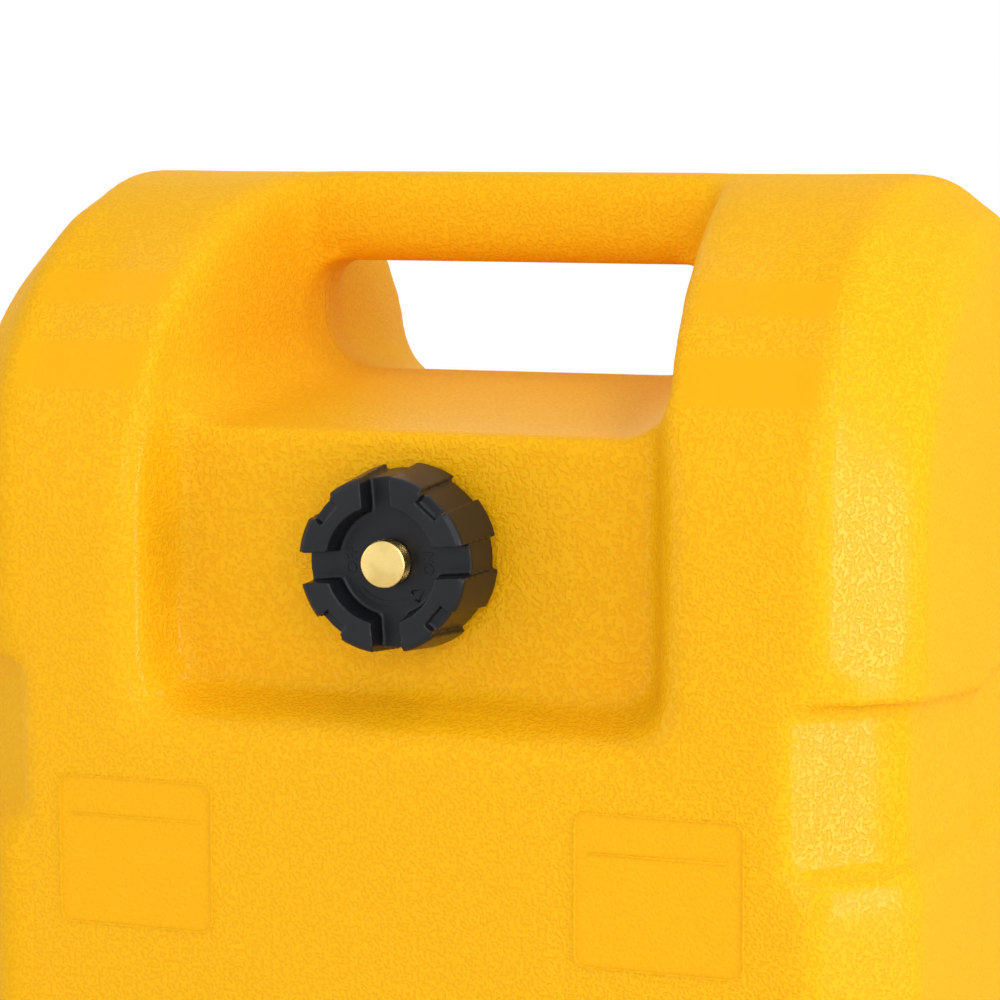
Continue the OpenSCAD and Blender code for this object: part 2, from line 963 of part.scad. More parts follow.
tank_shell();
filler_neck();
filler_cap();
cap_gasket();
vent_insert();
vent_screw();
vent_o_ring();
outlet_insert();
outlet_o_ring();
valve_body();
valve_ball();
ball_seats();
valve_stem();
stem_o_ring();
valve_lever();
lever_screw();
hose_tail();
tail_o_ring();
axle();
axle_saddles();
saddle_screws();
axle_spacers();
axle_washers();
axle_caps();
wheel_hub_left();
wheel_hub_right();
wheel_bushes_left();
wheel_bushes_right();
tyre_left();
tyre_right();
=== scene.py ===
# %% [markdown]
# # A fuel caddy, dressed step by step
# The CAD frame gives every size and place in metres: X to the right, Y to the back, Z up.
# This lesson keeps those solids where their shape is right, softens the ones that a mould
# would have rounded, and gives each surface a finish made only of shader nodes.

# %% Load the frame
import bpy
import json
import math
from mathutils import Matrix, Vector


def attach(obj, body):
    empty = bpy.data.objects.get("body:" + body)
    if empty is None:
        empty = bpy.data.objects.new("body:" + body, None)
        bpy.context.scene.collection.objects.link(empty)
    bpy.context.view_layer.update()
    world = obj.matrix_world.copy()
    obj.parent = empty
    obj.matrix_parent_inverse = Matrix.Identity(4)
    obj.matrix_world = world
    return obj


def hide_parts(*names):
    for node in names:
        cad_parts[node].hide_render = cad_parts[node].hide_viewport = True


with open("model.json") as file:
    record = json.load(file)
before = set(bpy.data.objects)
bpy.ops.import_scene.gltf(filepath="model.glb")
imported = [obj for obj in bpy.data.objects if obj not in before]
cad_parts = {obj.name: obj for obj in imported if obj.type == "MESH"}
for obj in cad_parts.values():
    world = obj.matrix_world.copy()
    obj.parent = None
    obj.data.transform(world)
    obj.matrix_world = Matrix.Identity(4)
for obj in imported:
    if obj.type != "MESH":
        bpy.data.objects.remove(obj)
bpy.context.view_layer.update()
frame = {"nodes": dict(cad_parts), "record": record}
scene = bpy.context.scene
scene.view_settings.view_transform = "Standard"

# %% Places that several cells share
CAP_Z, OUTLET_Z = 0.569, 0.088
WHEEL_X, AXLE_Y, AXLE_Z = 0.1653, 0.068, 0.090
FRONT_Y = -0.150
PANEL_X, PANEL_Z = 0.1042, 0.4523
PANEL_HALF, PANEL_CORNER = (0.0323, 0.0291), 0.005

# %% [markdown]
# ## Camera
# The tank's straight edges give the viewpoint: a long lens about 1.3 m away, to the right of
# the front and a little above, looking down by a few degrees. No shift is needed.

# %% Camera
SENSOR_MM, LENS_MM = 36.0, 116.2
CAMERA_AT, DOWN_DEG, PAN_DEG = (0.4328, -1.2438, 0.7287), 6.62, 19.58

cam_data = bpy.data.cameras.new("photo_camera")
cam_data.sensor_width, cam_data.lens = SENSOR_MM, LENS_MM
camera = bpy.data.objects.new("photo_camera", cam_data)
scene.collection.objects.link(camera)
camera.location = CAMERA_AT
camera.rotation_euler = (math.radians(90 - DOWN_DEG), 0, math.radians(PAN_DEG))
scene.camera = camera
print("camera at", tuple(camera.location))

# %% [markdown]
# ## Shader maths
# A finish is a small network of nodes. Wrapping a socket in a class with operators lets the
# network be written as ordinary arithmetic, so `1 - mask` adds a Math node by itself.

# %% Socket arithmetic
class Value:
    def __init__(self, finish, socket):
        self.finish, self.socket = finish, socket

    def math(self, operation, a, b=0.0):
        return self.finish.node("ShaderNodeMath", {"operation": operation}, {0: a, 1: b})

    def __add__(self, o): return self.math("ADD", self, o)
    def __radd__(self, o): return self.math("ADD", o, self)
    def __sub__(self, o): return self.math("SUBTRACT", self, o)
    def __rsub__(self, o): return self.math("SUBTRACT", o, self)
    def __mul__(self, o): return self.math("MULTIPLY", self, o)
    def __rmul__(self, o): return self.math("MULTIPLY", o, self)
    def __pow__(self, o): return self.math("POWER", self, o)
    def __abs__(self): return self.math("ABSOLUTE", self)
    def least(self, o): return self.math("MINIMUM", self, o)
    def most(self, o): return self.math("MAXIMUM", self, o)
    def fraction(self): return self.math("FRACT", self)

    def step(self, low, high):
        return self.finish.node("ShaderNodeMapRange", {"interpolation_type": "SMOOTHSTEP"},
                                {"Value": self, "From Min": low, "From Max": high})


class Finish:
    def __init__(self, name, **constants):
        self.material = bpy.data.materials.new(name)
        self.material.use_nodes = True
        self.tree = self.material.node_tree
        self.shader = next(n for n in self.tree.nodes if n.type == "BSDF_PRINCIPLED")
        for key, value in constants.items():
            self.shader.inputs[key.replace("_", " ")].default_value = value

    def node(self, kind, settings=None, inputs=None, out=0):
        n = self.tree.nodes.new(kind)
        for key, value in (settings or {}).items():
            setattr(n, key, value)
        for key, value in (inputs or {}).items():
            self.join(value, n.inputs[key])
        return Value(self, n.outputs[out])

    def join(self, value, socket):
        if isinstance(value, Value):
            self.tree.links.new(value.socket, socket)
        else:
            socket.default_value = value

    def feed(self, name, value):
        self.join(value, self.shader.inputs[name])

    def place(self):
        coords = self.node("ShaderNodeTexCoord", out="Object")
        split = self.tree.nodes.new("ShaderNodeSeparateXYZ")
        self.tree.links.new(coords.socket, split.inputs[0])
        return coords, [Value(self, split.outputs[i]) for i in range(3)]

    def noise(self, coords, scale, detail=2.0, rough=0.5, warp=0.0, stretch=(1, 1, 1)):
        spot = self.node("ShaderNodeMapping", None, {"Vector": coords, "Scale": stretch})
        return self.node("ShaderNodeTexNoise", None,
                         {"Vector": spot, "Scale": scale, "Detail": detail, "Roughness": rough,
                          "Distortion": warp})

    def blend(self, factor, a, b):
        return self.node("ShaderNodeMix", {"data_type": "RGBA"},
                         {"Factor": factor, 6: a, 7: b}, out=2)

    def bump(self, height, depth):
        self.feed("Normal", self.node("ShaderNodeBump", None,
                                      {"Height": height, "Distance": depth, "Strength": 1.0}))


print("shader helpers ready")

# %% [markdown]
# ## Light and floor
# The picture is a plain studio shot: white all round, wide soft lights in front and from the
# left, and two small ones from above. A narrow upright lamp stands where the right chamfer
# mirrors it to the camera, which brings out the grain there. The last lamp lights the back.
# The floor is pale and keeps the shadow close to the object; further away it is white to the
# camera, and so is the sky.

# %% Lights
BODY, CROWN, CHAMFER = (0, 0, 0.45), (0, 0, 0.6), (0.173, -0.134, 0.55)
LAMPS = (("front_light", (0.9, -2.4, 1.1), BODY, (1.4, 1.4), 16),
         ("left_light", (-2.0, -1.7, 0.8), BODY, (1.4, 1.4), 7),
         ("high_light", (1.6, -1.2, 1.9), CROWN, (0.8, 0.8), 6),
         ("edge_light", (1.88, -0.55, 0.64), CHAMFER, (0.20, 1.2), 11),
         ("top_light", (0.9, -0.1, 2.1), CROWN, (0.30, 0.30), 3),
         ("back_light", (-1.4, 2.0, 1.4), BODY, (1.6, 1.6), 10))
SKY_LIGHT = 0.70

for name, place, target, size, power in LAMPS:
    data = bpy.data.lights.new(name, "AREA")
    data.shape, data.size, data.size_y, data.energy = "RECTANGLE", size[0], size[1], power
    lamp = bpy.data.objects.new(name, data)
    scene.collection.objects.link(lamp)
    lamp.location = place
    lamp.rotation_euler = (Vector(target) - Vector(place)).to_track_quat("-Z", "Y").to_euler()


def straight_rays(tree):
    # 1 for what the camera, a reflection or a clear piece shows, 0 for light on a matt surface.
    path = tree.nodes.new("ShaderNodeLightPath")
    seen = path.outputs["Is Camera Ray"]
    for ray in ("Is Glossy Ray", "Is Transmission Ray"):
        either = tree.nodes.new("ShaderNodeMath")
        either.operation = "MAXIMUM"
        tree.links.new(seen, either.inputs[0])
        tree.links.new(path.outputs[ray], either.inputs[1])
        seen = either.outputs[0]
    return seen


world = bpy.data.worlds.new("studio")
world.use_nodes = True
scene.world = world
tree = world.node_tree
sky, white = tree.nodes["Background"], tree.nodes.new("ShaderNodeBackground")
for backdrop in (sky, white):
    backdrop.inputs["Color"].default_value = (1, 1, 1, 1)
sky.inputs["Strength"].default_value = SKY_LIGHT
choice = tree.nodes.new("ShaderNodeMixShader")
tree.links.new(straight_rays(tree), choice.inputs[0])
tree.links.new(sky.outputs[0], choice.inputs[1])
tree.links.new(white.outputs[0], choice.inputs[2])
tree.links.new(choice.outputs[0], tree.nodes["World Output"].inputs[0])

# %% Floor
FLOOR_GREY, FLOOR_WIDE = 0.76, 60
FADE_FROM, FADE_TO = 0.45, 1.3

bpy.ops.object.select_all(action="DESELECT")
bpy.ops.mesh.primitive_plane_add(size=FLOOR_WIDE)
floor = bpy.context.object
floor.name = "floor"
pale = Finish("pale_floor", Base_Color=(FLOOR_GREY, FLOOR_GREY, FLOOR_GREY, 1), Roughness=0.9)
_, (x, y, _) = pale.place()
far = ((x * x + y * y) ** 0.5).step(FADE_FROM, FADE_TO)
shown = Value(pale, straight_rays(pale.tree))
glow = pale.node("ShaderNodeEmission", None, {"Strength": 1.0})
out = next(n for n in pale.tree.nodes if n.type == "OUTPUT_MATERIAL")
mixed = pale.node("ShaderNodeMixShader", None,
                  {0: far * shown, 1: Value(pale, pale.shader.outputs[0]), 2: glow})
pale.tree.links.new(mixed.socket, out.inputs[0])
floor.data.materials.append(pale.material)
print("floor", floor.dimensions[:2])

# %% [markdown]
# ## Copies of the solids
# Most of the small solids only need what a mould or a lathe leaves: slightly broken edges.
# A copy of the node is merged, its flat faces are joined up, and a narrow bevel runs along
# every edge that is sharper than the facets of its round walls.

# %% Select, edit and apply
def only(obj):
    bpy.ops.object.select_all(action="DESELECT")
    obj.select_set(True)
    bpy.context.view_layer.objects.active = obj


def apply(obj, name, kind, **settings):
    only(obj)
    mod = obj.modifiers.new(name, kind)
    for key, value in settings.items():
        setattr(mod, key, value)
    bpy.ops.object.modifier_apply(modifier=mod.name)


def smooth(obj, degrees):
    only(obj)
    bpy.ops.object.shade_smooth_by_angle(angle=math.radians(degrees))


def edit(obj, kind=None, action="SELECT"):
    only(obj)
    bpy.ops.object.mode_set(mode="EDIT")
    if kind:
        bpy.ops.mesh.select_mode(type=kind)
    bpy.ops.mesh.select_all(action=action)


def close():
    bpy.ops.object.mode_set(mode="OBJECT")


def pick(obj, kind, test):
    # Stays in edit mode, with only the vertices, edges or faces selected that pass the test.
    edit(obj, kind, "DESELECT")
    close()
    data = obj.data
    for item in {"VERT": data.vertices, "EDGE": data.edges, "FACE": data.polygons}[kind]:
        item.select = test(item)
    bpy.ops.object.mode_set(mode="EDIT")


def joined(main, others, name):
    only(main)
    for obj in others:
        obj.select_set(True)
    bpy.ops.object.join()
    main.name = name
    return main


# %% Copy, soften and hand over
MERGE, FLAT_DEG, EDGE_DEG, SMOOTH_DEG = 2e-6, 0.5, 28, 35


def copy_of(node, name):
    obj = bpy.data.objects.new(name, frame["nodes"][node].data.copy())
    scene.collection.objects.link(obj)
    obj.data.materials.clear()
    edit(obj)
    bpy.ops.mesh.customdata_custom_splitnormals_clear()
    bpy.ops.mesh.remove_doubles(threshold=MERGE)
    close()
    return obj


def body_with(node):
    bodies = frame["record"]["behaviour"]["bodies"]
    return next(b for b, nodes in bodies.items() if node in nodes)


def slot_of(node):
    return next(s["material_slot"] for s in frame["record"]["subparts"] if s["node"] == node)


def finish_piece(obj, node):
    obj.data.materials.clear()
    obj.data.materials.append(finishes[slot_of(node)])
    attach(obj, body_with(node))
    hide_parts(node)


def softened(node, edge, name=None):
    obj = copy_of(node, name or node + "_soft")
    edit(obj)
    bpy.ops.mesh.dissolve_limited(angle_limit=math.radians(FLAT_DEG))
    close()
    apply(obj, "edge", "BEVEL", width=edge, segments=3, limit_method="ANGLE",
          angle_limit=math.radians(EDGE_DEG), use_clamp_overlap=True, harden_normals=False)
    smooth(obj, SMOOTH_DEG)
    finish_piece(obj, node)
    return obj


print("helpers ready for", len(frame["nodes"]), "nodes")

# %% [markdown]
# ## Tank finish
# The tank is coloured polyethylene. Its mould was etched, so the skin carries a fine grain of
# short wandering ridges about a millimetre wide. A fine noise put through a soft step has the
# same flat tops and flat grooves. The grain fades on the fields where the mould was left smooth.
# The mould's parting line, which is double in the hand hole, and the slight waviness of a blown
# wall are added to the same height, and one Bump node turns the sum into relief. The hand hole,
# the top, the side faces and the left chamfer show no glint, so a mask makes them rougher.
# The ridge tops are also coloured a lighter yellow. This is a painted highlight that stands in for
# their glint.

# %% Yellow polyethylene
GRAIN_SCALE, RIPPLE_SCALE = 760, 14
GRAIN_HIGH, SEAM_HIGH, RIPPLE_HIGH, RELIEF = 0.23, 0.45, 0.5, 0.001
SEAM_LINE, HOLE_SEAM_Y = (0.0004, 0.0011), 0.0022
GLOSSY, FLATTER = 0.19, 0.56
YELLOW_DEEP, YELLOW_MID = (0.905, 0.410, 0.0028, 1), (0.935, 0.435, 0.0036, 1)
# Lighter yellow for the grain's ridge tops: a painted highlight, not a colour of the plastic.
RIDGE_PAINTED_HIGHLIGHT = (0.950, 0.490, 0.0060, 1)


def between(v, low, high, soft):
    return v.step(low - soft, low + soft) * (1 - v.step(high - soft, high + soft))


def framed_field(x, z):
    # Distance to the outline of the nearer panel, less than 0 inside it.
    across = abs(abs(x) - PANEL_X) - (PANEL_HALF[0] - PANEL_CORNER)
    along = abs(z - PANEL_Z) - (PANEL_HALF[1] - PANEL_CORNER)
    outer = (across.most(0) ** 2 + along.most(0) ** 2) ** 0.5
    return outer + across.most(along).least(0) - PANEL_CORNER


tank_yellow = Finish("tank_yellow", IOR=1.48, Specular_IOR_Level=0.12, Subsurface_Weight=0.12,
                     Subsurface_Radius=(0.014, 0.006, 0.0006), Subsurface_Scale=1.0)
spot, (x, y, z) = tank_yellow.place()
worm = tank_yellow.noise(spot, GRAIN_SCALE, detail=0.0, warp=0.3).step(0.36, 0.56)
ripple = tank_yellow.noise(spot, RIPPLE_SCALE, detail=2.0)

on_front = 1 - y.step(-0.149, -0.144)
inside_frame = (1 - framed_field(x, z).step(-0.001, 0.0)) * on_front
shoulder = between(abs(x), 0.107, 0.158, 0.002) * (1 - y.step(-0.02, 0.0))
rows = between(z, 0.6605, 0.672, 0.001) + between(z, 0.629, 0.6465, 0.001)
bare_field = rows.least(1) * shoulder
grain = 1 - 0.85 * bare_field - 0.55 * inside_frame

seam = 1 - abs(y).step(*SEAM_LINE)
in_hole = (1 - abs(x).step(0.095, 0.1)) * between(z, 0.622, 0.690, 0.002)
double_seam = 1 - abs(abs(y) - HOLE_SEAM_Y).step(*SEAM_LINE)
seam = seam * (1 - in_hole) + double_seam * in_hole
tank_yellow.bump(worm * grain * GRAIN_HIGH + seam * SEAM_HIGH + ripple * RIPPLE_HIGH, RELIEF)

handled = (1 - abs(x).step(0.09, 0.12)) * z.step(0.60, 0.63)
side_face = abs(x).step(0.12, 0.14) * y.step(-0.125, -0.114)
left_chamfer = (0 - x).step(0.146, 0.156)
flat = handled.most(side_face).most(z.step(0.665, 0.695)).most(left_chamfer)
tank_yellow.feed("Roughness",
                 GLOSSY + FLATTER * flat - 0.02 * worm * grain + 0.05 * (ripple - 0.5))
deep = tank_yellow.blend(ripple, YELLOW_DEEP, YELLOW_MID)
# Base colour: the ripple gives a random tone, and the grain's ridges are painted lighter as a
# painted highlight.
tank_yellow.feed("Base Color",
                 tank_yellow.blend(worm * grain * 0.7 + 0.15, deep, RIDGE_PAINTED_HIGHLIGHT))
print("tank finish with", len(tank_yellow.tree.nodes), "nodes")

# %% [markdown]
# ## Finishes of the small pieces
# Black nylon has a satin skin with a very fine spark-eroded texture. Rubber is flatter and
# dustier, brass and zinc show the lines of the tool that cut them, and the bushes are milky
# nylon. All of them vary a little in roughness, because even new mouldings are never even.

# %% Black plastic, rubber, nylon
def speckled(name, dark, light, rough, scale, depth, vary=0.12, **constants):
    made = Finish(name, **constants)
    spot, _ = made.place()
    fine = made.noise(spot, scale, detail=2.0, rough=0.6)
    broad = made.noise(spot, scale / 40, detail=3.0)
    mottle = (broad * 0.7 + fine * 0.3).step(0.3, 0.7)
    made.feed("Base Color", made.blend(mottle, dark, light))
    made.feed("Roughness", rough + vary * (broad - 0.5) + 0.5 * vary * (fine - 0.5))
    made.bump(fine, depth)
    return made.material


black_plastic = speckled("black_plastic", (0.0050, 0.0056, 0.0080, 1), (0.0080, 0.0088, 0.0120, 1),
                         rough=0.36, scale=2200, depth=0.00003, IOR=1.5, Specular_IOR_Level=0.30)
rubber = speckled("rubber", (0.012, 0.012, 0.012, 1), (0.024, 0.023, 0.022, 1),
                  rough=0.72, scale=1800, depth=0.00003, IOR=1.5)
nylon = speckled("nylon", (0.70, 0.68, 0.60, 1), (0.80, 0.79, 0.73, 1),
                 rough=0.42, scale=1500, depth=0.00002, IOR=1.53, Subsurface_Weight=0.1,
                 Subsurface_Radius=(0.002, 0.002, 0.002), Subsurface_Scale=1.0)
print("plastics", black_plastic.name, rubber.name, nylon.name)


# %% Brass and zinc
def machined(name, dark, light, rough, lines, stretch):
    made = Finish(name, Metallic=1.0)
    spot, _ = made.place()
    cut = made.noise(spot, lines, detail=3.0, rough=0.65, stretch=stretch)
    tarnish = made.noise(spot, 90, detail=3.0)
    made.feed("Base Color", made.blend(tarnish.step(0.35, 0.7), light, dark))
    made.feed("Roughness", rough + 0.22 * (cut - 0.5) + 0.12 * (tarnish - 0.5))
    made.bump(cut, 0.00002)
    return made.material


brass = machined("brass", (0.70, 0.475, 0.140, 1), (0.88, 0.665, 0.250, 1),
                 rough=0.30, lines=900, stretch=(0.12, 1, 3.0))
steel = machined("zinc_plate", (0.50, 0.51, 0.53, 1), (0.66, 0.67, 0.69, 1),
                 rough=0.32, lines=700, stretch=(0.15, 2.0, 2.0))
print("metals", brass.name, steel.name)

# %% [markdown]
# ## Tyre finish
# The tread is a herringbone of shallow grooves. The angle round the axle comes from the place
# of each point, so the pattern follows the rim; it stays on the outer ring, and fine ribs
# run round the side.

# %% Tyre
GROOVES, GROOVE_LEAN, RIBS_A_METRE = 48, 90, 420
TREAD_FROM, TREAD_FULL = 0.0865, 0.0885
TYRE_DARK, TYRE_DUST = (0.014, 0.014, 0.014, 1), (0.040, 0.037, 0.033, 1)

tyre_rubber = Finish("tyre_rubber", IOR=1.5)
spot, (x, y, z) = tyre_rubber.place()
ahead, up = y - AXLE_Y, z - AXLE_Z
turn = ahead.math("ARCTAN2", up, ahead) * (GROOVES / (2 * math.pi))
lean = abs(abs(x) - WHEEL_X) * GROOVE_LEAN
groove = abs((turn + lean).fraction() - 0.5).step(0.10, 0.19)
far_out = (ahead * ahead + up * up) ** 0.5
tread = far_out.step(TREAD_FROM, TREAD_FULL)
ribs = (1 - abs((far_out * RIBS_A_METRE).fraction() - 0.5).step(0.05, 0.2)) * (1 - tread)
fine = tyre_rubber.noise(spot, 1600, detail=2.0)
dust = tyre_rubber.noise(spot, 60, detail=4.0)
dusty = ((1 - groove) * tread * 0.6 + dust * 0.5).least(1)
tyre_rubber.feed("Base Color", tyre_rubber.blend(dusty, TYRE_DARK, TYRE_DUST))
tyre_rubber.feed("Roughness", 0.70 + 0.15 * (dust - 0.5))
tyre_rubber.bump(groove * tread * 0.9 + fine * 0.03 + ribs * 0.15, 0.001)
print("tyre finish with", len(tyre_rubber.tree.nodes), "nodes")

# %% One finish for each material slot
finishes = {"tank": tank_yellow.material, "black_plastic": black_plastic, "rubber": rubber,
            "nylon": nylon, "brass": brass, "steel": steel, "tyre": tyre_rubber.material}
print("finishes", sorted(finishes))

# %% [markdown]
# ## Tank skin
# A blown tank has no sharp edge: the hot plastic bridges every corner of the mould. The solid
# model has the right places but crisp edges, so a copy of its outer skin is closed and turned
# into an even grid with a voxel remesh. The crown's sides swell a little. Then the grid relaxes
# twice: everywhere, by a share that a vertex group gives each region, and at greater length
# along the edges that roll over broadly.

# %% Part the outer skin from the inside
NECK_HOLE_R, OUTLET_HOLE_R = 0.027, 0.014
SCREW_X, SCREW_FROM_AXLE, SCREW_HOLE_R = 0.108, 0.019, 0.004


def joins_in_and_out(face):
    c = face.center
    neck = math.hypot(c.x, c.z - CAP_Z) < NECK_HOLE_R and -0.1229 < c.y < -0.1191
    outlet = math.hypot(c.x, c.z - OUTLET_Z) < OUTLET_HOLE_R and -0.0779 < c.y < -0.0741
    screw = (abs(abs(c.x) - SCREW_X) < SCREW_HOLE_R and 0.1061 < c.z < 0.1099
             and abs(abs(c.y - AXLE_Y) - SCREW_FROM_AXLE) < SCREW_HOLE_R)
    return neck or outlet or screw


tank_skin = copy_of("tank_shell", "tank_skin")
pick(tank_skin, "FACE", joins_in_and_out)
bpy.ops.mesh.delete(type="FACE")
bpy.ops.mesh.select_all(action="SELECT")
bpy.ops.mesh.separate(type="LOOSE")
close()
shells = sorted(bpy.context.selected_objects, key=lambda o: o.dimensions.x, reverse=True)
tank_skin, tank_inside = shells[0], shells[1]
for scrap in shells[2:]:
    bpy.data.objects.remove(scrap)
tank_skin.name, tank_inside.name = "tank_skin", "tank_inside"
for shell in (tank_skin, tank_inside):
    print(shell.name, [round(v, 3) for v in shell.dimensions])


# %% Shares for the regions of the skin
BAND_HALF_Y, BAND_TOP, BAND_FOOT = 0.1175, 0.5235, 0.4600
TOP_DIP, FOOT_DIP = 0.0145, 0.0096
BETWEEN_BANDS_Z, BANDS_APART = 0.370, 0.235
REST_SHARE = 0.85


def ease(value, low, high):
    t = min(1.0, max(0.0, (value - low) / (high - low)))
    return t * t * (3 - 2 * t)


def over_band(c):
    # Heights over the top and the foot of the nearer side band, which dip towards the middle.
    dip = max(0.0, 1 - abs(c.y) / BAND_HALF_Y)
    height = c.z if c.z > BETWEEN_BANDS_Z else c.z + BANDS_APART
    return height - (BAND_TOP - TOP_DIP * dip), height - (BAND_FOOT - FOOT_DIP * dip)


def softness(c):
    side, front, up = abs(c.x), -c.y, c.z
    over, under = over_band(c)
    at_band = ease(side, 0.124, 0.134)
    recess = ((1 - ease(side, 0.118, 0.140)) * ease(front, 0.106, 0.116)
              * ease(up, 0.490, 0.505) * (1 - ease(up, 0.632, 0.655)))
    niche = ((1 - ease(side, 0.082, 0.096)) * ease(front, 0.064, 0.074)
             * (1 - ease(up, 0.150, 0.165)))
    axle_bay = ease(-front, -0.008, 0.002) * (1 - ease(up, 0.190, 0.205))
    grip = (ease(up, 0.658, 0.668) * (1 - ease(side, 0.066, 0.090))
            * (1 - ease(abs(front), 0.030, 0.040)))
    regions = ((0.24, ease(side, 0.126, 0.140)),
               (0.10, (1 - ease(abs(over), 0.002, 0.007)) * at_band),
               (0.55, (1 - ease(abs(under), 0.004, 0.010)) * at_band),
               (0.45, recess),
               (0.50, niche),
               (0.30, axle_bay),
               (0.30, 1 - ease(up, 0.018, 0.030)),
               (0.16, grip))
    soft = REST_SHARE
    for value, share in regions:
        soft += (value - soft) * share
    return soft


def broad_roll(c):
    side, front = abs(c.x), -c.y
    over, under = over_band(c)
    pillar = ease(side, 0.076, 0.094) * (1 - ease(side, 0.128, 0.150)) * ease(c.z, 0.650, 0.702)
    lip = (ease(front, 0.132, 0.142) * (1 - ease(side, 0.126, 0.140)) * ease(c.z, 0.480, 0.500)
           * (1 - ease(c.z, 0.600, 0.640)))
    roll = ease(over, 0.0005, 0.003) * (1 - ease(over, 0.010, 0.020))
    sill = (1 - ease(under, -0.003, 0.003)) * ease(under, -0.014, -0.006)
    band = ease(side, 0.130, 0.145) * max(0.9 * roll, 0.40 * sill)
    return max(pillar, 0.6 * lip, band)


def crown_bulge(c):
    side = abs(c.x)
    across = ease(side, 0.148, 0.166) * (1 - ease(side, 0.186, 0.192))
    return across * ease(c.z, 0.600, 0.645) * (1 - ease(c.z, 0.688, 0.702))


print("shares at the crown", round(softness(Vector((0.17, 0, 0.66))), 2))


# %% Close, remesh and relax the skin
TANK_VOXEL, SWELL = 0.0027, 0.0022
SKIN_ROUNDS, ROLL_ROUNDS = 14, 80


def weigh(obj, weight):
    group = obj.vertex_groups.new(name="share")
    for v in obj.data.vertices:
        group.add([v.index], weight(v.co), "REPLACE")
    return group.name


def regrid(obj, voxel):
    apply(obj, "grid", "REMESH", mode="VOXEL", voxel_size=voxel, adaptivity=0.0)


def relax(obj, rounds, weight=None):
    settings = {"vertex_group": weigh(obj, weight)} if weight else {}
    apply(obj, "relax", "SMOOTH", factor=0.5, iterations=rounds, **settings)
    obj.vertex_groups.clear()
    only(obj)
    bpy.ops.object.shade_smooth()


edit(tank_skin, "EDGE", "DESELECT")
bpy.ops.mesh.select_non_manifold(use_wire=False, use_multi_face=False,
                                 use_non_contiguous=False, use_verts=False)
bpy.ops.mesh.fill_holes(sides=0)
close()
regrid(tank_skin, TANK_VOXEL)
apply(tank_skin, "bulge", "DISPLACE", strength=SWELL, mid_level=0.0,
      vertex_group=weigh(tank_skin, crown_bulge))
tank_skin.vertex_groups.clear()
relax(tank_skin, SKIN_ROUNDS, softness)
relax(tank_skin, ROLL_ROUNDS, broad_roll)
print("skin grid", len(tank_skin.data.polygons), "faces")

# %% Open the neck and the outlet again
SPLIT_Z = 0.37


def under_a_flange(face):
    c = face.center
    neck = math.hypot(c.x, c.z - CAP_Z) < 0.0262 and abs(c.y + 0.123) < 0.004
    outlet = math.hypot(c.x, c.z - OUTLET_Z) < 0.0137 and abs(c.y + 0.078) < 0.004
    return neck or outlet


pick(tank_skin, "FACE", under_a_flange)
bpy.ops.mesh.delete(type="FACE")
close()
edit(tank_skin)
bpy.ops.mesh.bisect(plane_co=(0, 0, SPLIT_Z), plane_no=(0, 0, 1))
close()
pick(tank_skin, "FACE", lambda face: face.center.z < SPLIT_Z)
bpy.ops.mesh.separate(type="SELECTED")
close()
tank_base = next(o for o in bpy.context.selected_objects if o != tank_skin)
tank_base.name = "tank_skin_low"
smooth(tank_inside, SMOOTH_DEG)
for skin in (tank_skin, tank_base, tank_inside):
    finish_piece(skin, "tank_shell")
print("tank skin", len(tank_skin.data.polygons), "and", len(tank_base.data.polygons), "faces")

# %% [markdown]
# ## Filler cap
# The cap is a thick moulding with a dished top and four raised lobes on its rim, each with a
# shallow pocket. Mould corners are rounded by a millimetre or so, also where walls meet floors,
# which a bevel on crisp faces does badly here. The same remesh and relax does it evenly, on a
# grid fine enough for the gaps between the lobes.

# %% Moulded copies
def moulded(node, voxel, rounds, name):
    obj = copy_of(node, name)
    regrid(obj, voxel)
    relax(obj, rounds)
    finish_piece(obj, node)
    print(name, len(obj.data.polygons), "faces")


moulded("filler_cap", 0.0005, 8, "cap_skin")

# %% [markdown]
# ## Marks on the cap
# The dish carries raised ON and OFF at the ends of the knob's turn and a curved arrow below it.
# The words are flat curves made into a mesh; the arrow starts as a small square whose edge is
# spun round the cap's axis, widened, and drawn to a point, and only its outline is kept. All
# stand a third of a millimetre high.

# %% Raised words and arrow
DISH_Y = -0.1475
WORD_AWAY, WORD_SIZE, WORD_HIGH, WORD_EDGE = 0.0152, 0.0056, 0.0003, 0.00008
ARROW_R, ARROW_WIDE, ARROW_LINE, ARROW_THICK = 0.0158, 0.0026, 0.0004, 0.0006
ARROW_SWEEP, ARROW_TURN, ARROW_TIP = 78, 226, (-0.0044, 0.0006, 0)


def set_upright(obj, x, y, z, turned=0.0):
    stand_up = Matrix.Rotation(math.radians(90), 4, "X")
    spin = Matrix.Rotation(math.radians(turned), 4, "Z")
    obj.matrix_world = Matrix.Translation((x, y, z)) @ stand_up @ spin
    only(obj)
    bpy.ops.object.transform_apply(location=True, rotation=True, scale=True)


words = []
for word, across in (("OFF", -WORD_AWAY), ("ON", WORD_AWAY)):
    bpy.ops.object.select_all(action="DESELECT")
    bpy.ops.object.text_add()
    obj = bpy.context.object
    obj.data.body = word
    obj.data.align_x, obj.data.align_y = "CENTER", "CENTER"
    obj.data.size, obj.data.extrude = WORD_SIZE, WORD_HIGH
    obj.data.bevel_depth, obj.data.bevel_resolution = WORD_EDGE, 1
    bpy.ops.object.convert(target="MESH")
    set_upright(obj, across, DISH_Y, CAP_Z, 90)
    words.append(obj)

